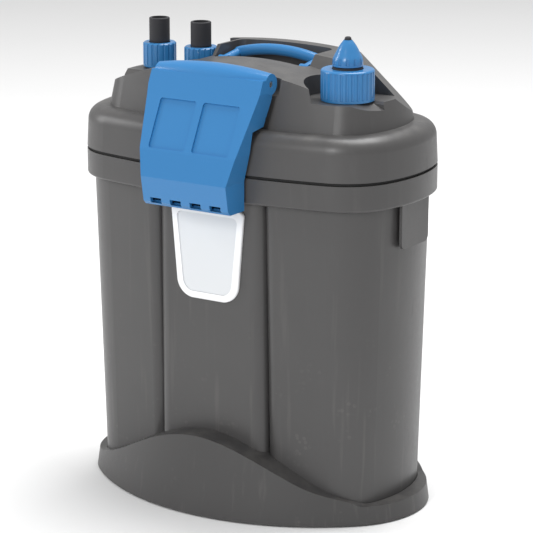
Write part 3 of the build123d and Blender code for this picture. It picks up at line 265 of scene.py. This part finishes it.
@dataclass(frozen=True)
class MouldedPlastic(Finish):
    """Injection-moulded plastic with a fine spark-eroded grain, rub marks and settled dust."""

    colour: Colour
    roughness: float = 0.4
    grain: float = 0.5 * MM
    grain_depth: float = 0.02 * MM
    mottle: float = 0.08
    scuff: float = 0.1
    dust: float = 0.05
    coat: float = 0.0

    def paint(self, g: Graph) -> None:
        broad = g.noise(60 * MM, 3.0)
        fine = g.noise(4 * MM, 5.0)
        shade = 1.0 - self.mottle + self.mottle * (broad + fine)
        tint = g.mix(broad, tuple(c * 0.94 for c in self.colour), tuple(c * 1.06 for c in self.colour))
        colour = tint * g.mix(shade, (0, 0, 0), (1, 1, 1))
        rub = g.step(g.noise(9 * MM, 6.0, (1.0, 1.0, 0.25), 0.7), 0.56, 0.72)
        scratch = g.step(g.noise(1.4 * MM, 2.0, (0.04, 1.0, 1.0)), 0.66, 0.7)
        worn = tuple(min(1.0, c * 1.3 + 0.02) for c in self.colour)
        colour = g.mix(rub * self.scuff, colour, worn)
        settled = g.step(g.facing_up(), 0.35, 1.0) * g.step(g.noise(14 * MM, 5.0), 0.35, 0.7) * self.dust
        colour = g.mix(settled, colour, srgb(196, 192, 184))
        grain = g.noise(self.grain, 3.0, rough=0.7)
        normal = g.bump(grain, self.grain_depth, g.bump(g.noise(35 * MM, 2.0), 0.25 * MM))
        rough = self.roughness + 0.12 * (fine - 0.5) + 0.1 * rub - 0.05 * scratch + 0.35 * settled
        g.set(Base_Color=colour, Roughness=rough, Normal=normal, Coat_Weight=self.coat, Coat_Roughness=0.12,
              IOR=1.5)


@dataclass(frozen=True)
class VesselPlastic(MouldedPlastic):
    """Grey vessel plastic with faint water runs below the collar and splashes near the floor."""

    run_top: float = 0.25

    def paint(self, g: Graph) -> None:
        super().paint(g)
        base = self.shader_link(g, "Base Color", Kind.COLOUR)
        rough = self.shader_link(g, "Roughness", Kind.VALUE)
        runs = g.step(g.noise(7 * MM, 3.0, (1.0, 1.0, 0.05)), 0.58, 0.74)
        low = 1.0 - g.step(g.height(), 0.0, self.run_top)
        drops = g.step(0.36 - g.cells(5 * MM), 0.0, 0.08) * g.step(g.noise(22 * MM, 4.0), 0.55, 0.68)
        stain = runs * (0.02 + 0.05 * low) + drops * low * 0.06
        g.set(Base_Color=g.mix(stain, base, srgb(170, 168, 160)), Roughness=rough + 0.3 * stain)

    @staticmethod
    def shader_link(g: Graph, name: str, kind: Kind) -> Socket:
        """Take over what feeds one input of the surface shader."""
        return Socket(g, g.shader.inputs[name].links[0].from_socket, kind)


@dataclass(frozen=True)
class Rubber(Finish):
    """Matt black rubber with a dusty bloom."""

    colour: Colour = (0.014, 0.014, 0.015)

    def paint(self, g: Graph) -> None:
        bloom = g.step(g.noise(12 * MM, 6.0, rough=0.65), 0.42, 0.75)
        grain = g.noise(0.6 * MM, 4.0, rough=0.7)
        g.set(Base_Color=g.mix(bloom * 0.35, self.colour, (0.07, 0.068, 0.064)), Roughness=0.72 + 0.14 * bloom,
              Normal=g.bump(grain, 0.05 * MM), IOR=1.45)


@dataclass(frozen=True)
class TurnedMetal(Finish):
    """Metal with fine turning lines and slight tarnish."""

    colour: Colour
    roughness: float = 0.28
    tarnish: float = 0.15

    def paint(self, g: Graph) -> None:
        lines = g.noise(0.35 * MM, 3.0, (1.0, 0.06, 0.06), 0.8)
        spots = g.step(g.noise(6 * MM, 6.0), 0.5, 0.8)
        g.set(Base_Color=g.mix(spots * self.tarnish, self.colour, tuple(c * 0.5 for c in self.colour)),
              Metallic=1.0, Roughness=self.roughness + 0.12 * (lines - 0.5) + 0.2 * spots * self.tarnish,
              Normal=g.bump(lines, 0.01 * MM))


@dataclass(frozen=True)
class Ceramic(Finish):
    """Fired ceramic with speckles."""

    colour: Colour = srgb(226, 221, 208)

    def paint(self, g: Graph) -> None:
        speck = g.step(0.16 - g.cells(1.3 * MM), 0.0, 0.05)
        cloud = g.noise(10 * MM, 4.0)
        colour = g.mix(speck * 0.4, g.mix(cloud * 0.25, self.colour, srgb(200, 190, 170)), srgb(120, 105, 85))
        g.set(Base_Color=colour, Roughness=0.42 + 0.15 * cloud, Normal=g.bump(g.noise(0.5 * MM), 0.02 * MM))


@dataclass(frozen=True)
class Potting(Finish):
    """Dark casting resin round the stator: glossy, with small bubbles and a faint flow line."""

    def paint(self, g: Graph) -> None:
        pits = g.step(0.2 - g.cells(2.2 * MM), 0.0, 0.08) * g.step(g.noise(9 * MM), 0.5, 0.62)
        flow = g.noise(25 * MM, 3.0, (1.0, 1.0, 3.0))
        g.set(Base_Color=g.mix(flow, (0.008, 0.009, 0.012), (0.03, 0.031, 0.036)),
              Roughness=0.16 + 0.22 * flow + 0.2 * pits, Normal=g.bump(1.0 - pits, 0.25 * MM))


@dataclass(frozen=True)
class Glass(Finish):
    """Clear glass tube with faint water marks."""

    def paint(self, g: Graph) -> None:
        marks = g.step(g.noise(4 * MM, 5.0, (1.0, 1.0, 0.2)), 0.6, 0.78)
        g.set(Base_Color=g.mix(marks * 0.2, (0.96, 0.985, 0.98), (0.75, 0.75, 0.72)), Roughness=0.02 + 0.2 * marks,
              Transmission_Weight=0.95, IOR=1.46, Normal=g.bump(g.noise(20 * MM), 0.02 * MM))


@dataclass(frozen=True)
class Foam(Finish):
    """Open-cell filter foam: painted shade darkens the pores between thin pale struts."""

    colour: Colour
    pore: float = 1.6 * MM
    soil: float = 0.2

    def paint(self, g: Graph) -> None:
        pores = g.step(g.cells(self.pore, "DISTANCE_TO_EDGE"), 0.06, 0.3)
        fine = g.step(g.cells(self.pore * 0.45, "DISTANCE_TO_EDGE"), 0.05, 0.3)
        cloud = g.step(g.noise(26 * MM, 5.0), 0.4, 0.75)
        # Painted shade: the pore and fine-cell masks darken the foam colour to a tenth or so, standing for the
        # shade inside the open cells.
        body = g.mix(pores * 0.72 + fine * 0.2, self.colour, tuple(c * 0.12 for c in self.colour))
        g.set(Base_Color=g.mix(cloud * self.soil, body, srgb(96, 84, 58)), Roughness=0.93 - 0.05 * fine,
              Normal=g.bump(1.0 - 0.8 * pores - 0.2 * fine, 0.9 * MM), Sheen_Weight=0.15)


@dataclass(frozen=True)
class Paper(Finish):
    """Pale studio floor."""

    def paint(self, g: Graph) -> None:
        cloud = g.noise(0.6, 3.0)
        g.set(Base_Color=g.mix(cloud, (0.80, 0.80, 0.80), (0.83, 0.83, 0.83)), Roughness=0.75 + 0.08 * cloud,
              Normal=g.bump(g.noise(3 * MM, 4.0), 0.02 * MM), Specular_IOR_Level=0.2)


BODY_GREY = VesselPlastic("body_grey", srgb(70, 69, 69), roughness=0.36, grain=0.7 * MM, grain_depth=0.03 * MM)
HEAD_GREY = MouldedPlastic("head_grey", srgb(73, 72, 72), roughness=0.38, grain=0.7 * MM, grain_depth=0.03 * MM,
                           dust=0.05)
FOOT_GREY = VesselPlastic("foot_grey", srgb(64, 63, 63), roughness=0.42, grain=0.8 * MM, grain_depth=0.04 * MM,
                          dust=0.06, run_top=0.06)
BLUE = MouldedPlastic("blue_plastic", srgb(3, 68, 110), roughness=0.30, grain=0.35 * MM, grain_depth=0.008 * MM,
                      mottle=0.05, scuff=0.08, dust=0.03, coat=0.25)
WHITE = MouldedPlastic("badge_white", srgb(190, 192, 195), roughness=0.28, grain=0.4 * MM,
                       grain_depth=0.006 * MM, mottle=0.02, scuff=0.03, dust=0.04, coat=0.3)
PALE = MouldedPlastic("badge_grey", srgb(150, 154, 160), roughness=0.4, grain=0.6 * MM, grain_depth=0.02 * MM,
                      mottle=0.03, scuff=0.04, dust=0.03)
BLACK = MouldedPlastic("black_plastic", srgb(34, 33, 36), roughness=0.36, grain=0.5 * MM, grain_depth=0.015 * MM,
                       dust=0.08)
INNER = MouldedPlastic("inner_plastic", srgb(48, 49, 52), roughness=0.46, grain=0.8 * MM, grain_depth=0.03 * MM,
                       scuff=0.2)
BASKET = MouldedPlastic("basket_plastic", srgb(30, 72, 112), roughness=0.4, scuff=0.2)
SEAL = Rubber("seal_rubber")
PAD_RUBBER = Rubber("foot_rubber", (0.02, 0.02, 0.021))
STEEL = TurnedMetal("pin_steel", (0.56, 0.56, 0.55))
MAGNET = TurnedMetal("magnet", (0.09, 0.085, 0.085), roughness=0.5, tarnish=0.4)
WIRE = TurnedMetal("winding_wire", (0.52, 0.46, 0.38), roughness=0.35)
CERAMIC = Ceramic("ceramic")
RESIN = Potting("potting_resin")
GLASS = Glass("tube_glass")


# ---- sub-assemblies ----------------------------------------------------------
@dataclass
class Assembly:
    """CAD nodes that belong together, each with its finish, and the pieces modelled here."""

    title: str
    finishes: Mapping[str, Finish] = field(default_factory=dict)

    def build(self) -> list[bpy.types.Object]:
        """Paint the nodes and make this assembly's own pieces.

        Returns:
            The pieces made here.
        """
        for node, finish in self.finishes.items():
            paint_node(node, finish)
        made = self.make()
        log.info("%s: %d nodes, %d pieces", self.title, len(self.finishes), len(made))
        return made

    def make(self) -> list[bpy.types.Object]:
        """Make the pieces that the CAD model doesn't hold."""
        return []


def paint_node(node: str, finish: Finish) -> None:
    """Give a CAD node its finish."""
    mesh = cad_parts[node].data
    mesh.materials.clear()
    mesh.materials.append(finish.material())


def new_object(name: str, build: bmesh.types.BMesh, finish: Finish, smooth: bool = True) -> bpy.types.Object:
    """Turn a bmesh into a finished object.

    Args:
        name: Name of the piece.
        build: Its geometry.
        finish: Its finish.
        smooth: Whether faces are shaded smooth.

    Returns:
        The object, linked into the scene.
    """
    mesh = bpy.data.meshes.new(name)
    build.to_mesh(mesh)
    build.free()
    mesh.materials.append(finish.material())
    mesh.polygons.foreach_set("use_smooth", [smooth] * len(mesh.polygons))
    made = bpy.data.objects.new(name, mesh)
    bpy.context.scene.collection.objects.link(made)
    return made


def tube_mesh(path: Sequence[Vector], radius: float, sides: int = 8) -> bmesh.types.BMesh:
    """Closed tube along a path.

    Args:
        path: Points of the centre line.
        radius: Radius of the tube.
        sides: Corners of its section.

    Returns:
        The geometry.
    """
    build = bmesh.new()
    rings = []
    for i, point in enumerate(path):
        along = (path[min(i + 1, len(path) - 1)] - path[max(i - 1, 0)]).normalized()
        side = along.cross(Vector((0, 0, 1)))
        side = side.normalized() if side.length > 1e-4 else Vector((1, 0, 0))
        up = side.cross(along)
        turns = (2 * math.pi * k / sides for k in range(sides))
        rings.append([build.verts.new(point + radius * (math.cos(t) * side + math.sin(t) * up)) for t in turns])
    for low, high in zip(rings, rings[1:]):
        for k in range(sides):
            build.faces.new((low[k], low[(k + 1) % sides], high[(k + 1) % sides], high[k]))
    build.faces.new(list(reversed(rings[0])))
    build.faces.new(rings[-1])
    bmesh.ops.recalc_face_normals(build, faces=build.faces)
    return build


@dataclass
class FoamPad:
    """Cut foam pad: a sagging block with torn pores along its edges."""

    node: str
    body: str
    slot: str
    finish: Foam
    tooth: float
    seed: float

    def build(self) -> bpy.types.Object:
        """Make the pad inside the box of the CAD node it stands for."""
        low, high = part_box(self.node)
        size = high - low
        middle = (low + high) / 2
        half = size / 2
        across, deep, tall = 96, 58, 26
        corner = 9 * MM
        build = bmesh.new()
        bmesh.ops.create_cube(build, size=2.0)
        sides = {0: across, 1: deep, 2: tall}
        for axis, count in sides.items():
            edges = [e for e in build.edges
                     if abs((e.verts[0].co - e.verts[1].co)[axis]) > 1e-6
                     and all(abs((e.verts[0].co - e.verts[1].co)[a]) < 1e-6 for a in range(3) if a != axis)]
            bmesh.ops.subdivide_edges(build, edges=edges, cuts=count - 1, use_grid_fill=True)
        for vert in build.verts:
            vert.co = self.shape(vert.co, half, corner) + middle
        return self.finished(build)

    def shape(self, unit: Vector, half: Vector, corner: float) -> Vector:
        """Place one point of the unit cube on the pad's surface."""
        point = Vector((unit.x * half.x, unit.y * half.y, unit.z * half.z))
        inner = Vector((max(abs(point.x) - half.x + corner, 0), max(abs(point.y) - half.y + corner, 0), 0))
        if inner.x > 0 and inner.y > 0:
            reach = max(inner.x, inner.y)
            scale = reach / inner.length
            point.x = math.copysign(half.x - corner + inner.x * scale, point.x)
            point.y = math.copysign(half.y - corner + inner.y * scale, point.y)
        rough = noise.noise(point / self.tooth + Vector((self.seed,) * 3))
        broad = noise.noise(point / (34 * MM) + Vector((0, self.seed, 0)))
        edge = sum(1 for v in unit if abs(v) > 0.97) > 1
        inward = (0.35 + 0.25 * rough + 0.5 * max(broad, 0)) * MM + (0.7 * MM if edge else 0)
        return Vector(tuple(p - math.copysign(min(inward, abs(p)), p) * (1 if abs(u) > 0.985 else 0.15)
                            for p, u in zip(point, unit)))

    def finished(self, build: bmesh.types.BMesh) -> bpy.types.Object:
        pad = new_object(f"{self.node}_pad", build, self.finish)
        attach(pad, self.body)
        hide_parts(self.node)
        return pad


@dataclass
class MediaStack(Assembly):
    """Three baskets with their foam pads."""

    pads: Sequence[FoamPad] = ()

    def make(self) -> list[bpy.types.Object]:
        return [pad.build() for pad in self.pads]


@dataclass
class Heater(Assembly):
    """Screw-in heater with a wire winding on its ceramic core."""

    wire: float = 0.42 * MM
    pitch: float = 2.0 * MM

    def make(self) -> list[bpy.types.Object]:
        low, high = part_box("heater_winding")
        axis = (low + high) / 2
        radius = (high.x - low.x) / 2 - self.wire
        length = high.z - low.z - 2 * self.wire
        per_turn = 20
        count = int(length / self.pitch * per_turn)
        path = []
        for i in range(count + 1):
            turn = 2 * math.pi * i / per_turn
            z = low.z + self.wire + length * i / count
            path.append(Vector((axis.x + radius * math.cos(turn), axis.y + radius * math.sin(turn), z)))
        winding = new_object("heater_winding_wire", tube_mesh(path, self.wire, 6), WIRE)
        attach(winding, "head")
        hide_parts("heater_winding")
        return [winding]


# ---- studio ------------------------------------------------------------------
@dataclass(frozen=True)
class Softbox:
    """Large rectangular lamp that points at the object."""

    name: str
    place: tuple[float, float, float]
    size: tuple[float, float]
    power: float
    colour: Colour = (1.0, 1.0, 1.0)
    target: tuple[float, float, float] = (0.0, 0.0, 0.18)

    def build(self) -> bpy.types.Object:
        """Hang the lamp."""
        data = bpy.data.lights.new(self.name, "AREA")
        data.shape = "RECTANGLE"
        data.size, data.size_y = self.size
        data.energy = self.power
        data.color = self.colour
        made = bpy.data.objects.new(self.name, data)
        made.location = self.place
        made.rotation_euler = (Vector(self.target) - Vector(self.place)).to_track_quat("-Z", "Y").to_euler()
        bpy.context.scene.collection.objects.link(made)
        return made


@dataclass
class Studio:
    """Pale floor, even surroundings, soft lamps and the camera."""

    lamps: Sequence[Softbox]
    surroundings: float = 0.55
    eye: tuple[float, float, float] = (1.0376, -1.5917, 0.6757)
    turn_deg: tuple[float, float, float] = (75.30, 0.0, 32.945)
    lens_mm: float = 167.7

    def build(self) -> None:
        """Set up everything round the object."""
        self.floor()
        self.world()
        for lamp in self.lamps:
            lamp.build()
        self.camera()
        bpy.context.scene.view_settings.view_transform = "Standard"
        log.info("studio: %d lamps", len(self.lamps))

    def floor(self) -> None:
        """Round floor, far wider than the view."""
        build = bmesh.new()
        bmesh.ops.create_circle(build, cap_ends=True, segments=96, radius=14.0)
        ground = new_object("floor", build, Paper("floor_paper"), smooth=False)
        ground.location.z = -0.0002

    def world(self) -> None:
        """Even white light from all round."""
        world = bpy.data.worlds.new("surroundings")
        world.use_nodes = True
        back = world.node_tree.nodes["Background"]
        back.inputs["Color"].default_value = (1.0, 1.0, 1.0, 1.0)
        back.inputs["Strength"].default_value = self.surroundings
        bpy.context.scene.world = world

    def camera(self) -> None:
        """Long lens, slightly above the object's top."""
        data = bpy.data.cameras.new("view")
        data.sensor_width = 36.0
        data.lens = self.lens_mm
        made = bpy.data.objects.new("view", data)
        made.location = self.eye
        made.rotation_euler = tuple(math.radians(a) for a in self.turn_deg)
        bpy.context.scene.collection.objects.link(made)
        bpy.context.scene.camera = made


def assemblies() -> list[Assembly]:
    """List the sub-assemblies in building order.

    Returns:
        All sub-assemblies of the filter.
    """
    return [
        Assembly("vessel", {"canister": BODY_GREY, "base_foot": FOOT_GREY, "rubber_feet": PAD_RUBBER,
                            "badge_frame": WHITE, "badge_inlay": PALE, "bottom_grid": INNER,
                            "riser_pipe": INNER}),
        Assembly("head cover", {"head_shell": HEAD_GREY, "head_base": INNER, "head_gasket": SEAL,
                                "head_screws": STEEL, "cord_gland": BLACK}),
        Assembly("latches", {"front_latch": BLUE, "front_latch_pin": STEEL, "rear_latch": BLUE,
                             "rear_latch_pin": STEEL}),
        Assembly("carry handle", {"carry_handle": BLUE, "handle_pins": STEEL}),
        Assembly("hose connections", {"inlet_nozzle": BLACK, "outlet_nozzle": BLACK, "inlet_union_nut": BLUE,
                                      "outlet_union_nut": BLUE, "nozzle_seals": SEAL, "inlet_duct": INNER,
                                      "outlet_duct": INNER}),
        Assembly("pump", {"motor_block": RESIN, "upper_bush": SEAL, "lower_bush": SEAL, "impeller_shaft": CERAMIC,
                          "rotor_magnet": MAGNET, "impeller": INNER, "pump_housing": INNER,
                          "impeller_cover": INNER}),
        Heater("heater", {"heater_nut": BLUE, "heater_head": BLACK, "temperature_knob": BLUE, "heater_tip": BLACK,
                          "heater_tube": GLASS, "heater_core": CERAMIC, "heater_guard": INNER}),
        MediaStack("media stack", {"lower_basket": BASKET, "middle_basket": BASKET, "upper_basket": BASKET,
                                   "basket_bail": BLACK},
                   pads=(FoamPad("lower_foam", "basket_lower", "foam_coarse",
                                 Foam("coarse_foam", srgb(38, 92, 150), 2.6 * MM), 2.4 * MM, 3.0),
                         FoamPad("middle_foam", "basket_middle", "foam_medium",
                                 Foam("medium_foam", srgb(92, 92, 90), 1.7 * MM, 0.12), 1.7 * MM, 11.0),
                         FoamPad("upper_foam", "basket_upper", "foam_fine",
                                 Foam("fine_foam", srgb(226, 224, 214), 1.0 * MM, 0.10), 1.2 * MM, 19.0))),
    ]


def main() -> None:
    """Build every sub-assembly, then the studio."""
    logging.basicConfig(level=logging.INFO, format="%(name)s %(message)s")
    for assembly in assemblies():
        assembly.build()
    Studio(lamps=(
        Softbox("key", (0.3, -2.6, 1.5), (0.5, 1.2), 32.0),
        Softbox("edge", (-2.4, -0.9, 1.2), (0.3, 1.4), 22.0),
        Softbox("top", (0.2, 0.7, 2.4), (1.6, 1.6), 62.0),
    )).build()


if __name__ == "__main__":
    main()
